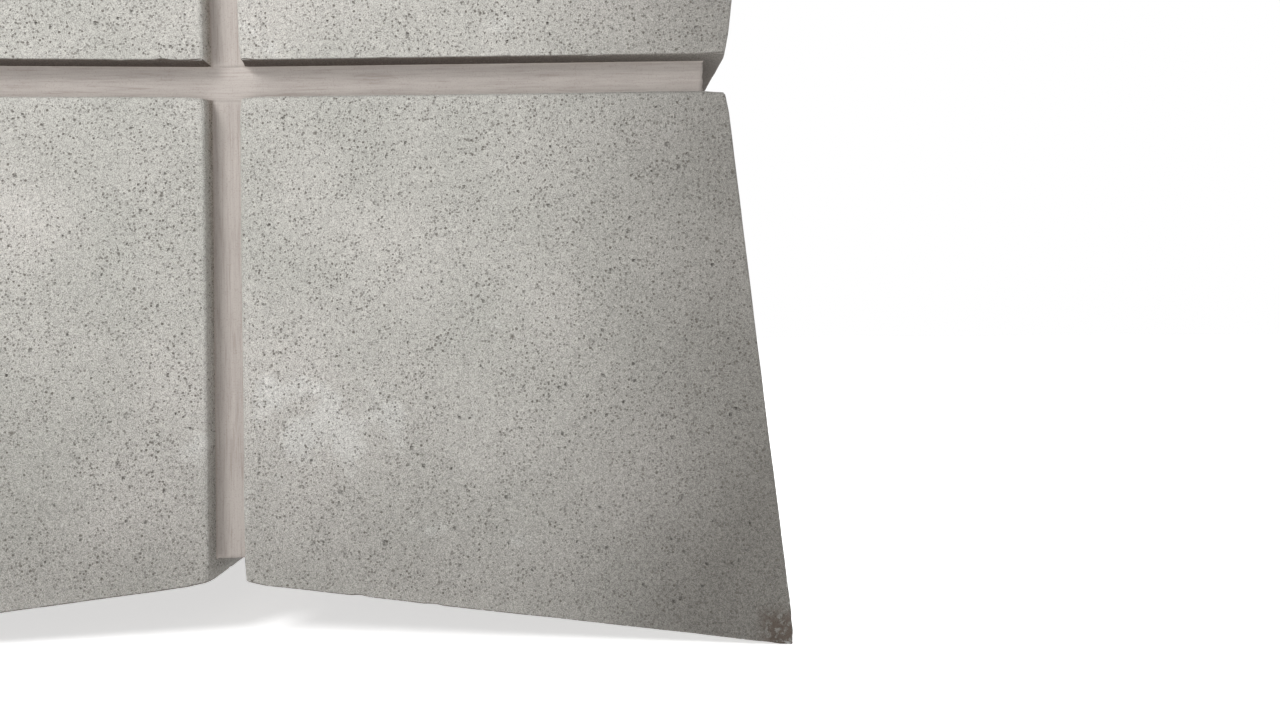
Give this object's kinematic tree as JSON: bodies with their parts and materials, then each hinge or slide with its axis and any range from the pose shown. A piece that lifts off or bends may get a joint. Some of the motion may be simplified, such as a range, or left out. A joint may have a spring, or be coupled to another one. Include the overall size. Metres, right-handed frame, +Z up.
{
  "type": "concrete vehicle barrier block",
  "caption": "Free-standing concrete barrier block: flared corner blocks on mortar joints raked back into crossing channels on every face, tied by steel dowels, with lifting sockets.",
  "frame": {"origin": "on the ground under the middle of the block", "axes": "+Z up, +X towards the block's right side, -Y towards its front"},
  "size_m": [1.198, 1.198, 1.1966],
  "materials": {
    "concrete": "cast concrete, matt, pinholed, smooth on the arrises",
    "mortar": "tooled joint mortar, matt, fine streaks along the joint",
    "bar_steel": "rolled bar with a thin even rust",
    "socket_steel": "zinc plated, dull"
  },
  "bodies": {
    "root": {"block_front_lower_left": "concrete", "block_front_lower_right": "concrete", "block_back_lower_left": "concrete", "block_back_lower_right": "concrete", "block_front_upper_left": "concrete", "block_front_upper_right": "concrete", "block_back_upper_left": "concrete", "block_back_upper_right": "concrete", "bed_joint": "mortar", "lower_middle_joint": "mortar", "lower_left_joint": "mortar", "lower_right_joint": "mortar", "upper_middle_joint": "mortar", "upper_left_joint": "mortar", "upper_right_joint": "mortar", "side_dowels": "bar_steel", "depth_dowels": "bar_steel", "upright_dowels": "bar_steel", "links_front_lower_left": "bar_steel", "links_front_lower_right": "bar_steel", "links_back_lower_left": "bar_steel", "links_back_lower_right": "bar_steel", "links_front_upper_left": "bar_steel", "links_front_upper_right": "bar_steel", "links_back_upper_left": "bar_steel", "links_back_upper_right": "bar_steel", "bars_front_lower_left": "bar_steel", "bars_front_lower_right": "bar_steel", "bars_back_lower_left": "bar_steel", "bars_back_lower_right": "bar_steel", "bars_front_upper_left": "bar_steel", "bars_front_upper_right": "bar_steel", "bars_back_upper_left": "bar_steel", "bars_back_upper_right": "bar_steel", "socket_front_left": "socket_steel", "socket_front_right": "socket_steel", "socket_back_left": "socket_steel", "socket_back_right": "socket_steel", "anchor_bars": "bar_steel"}
  },
  "joints": []
}
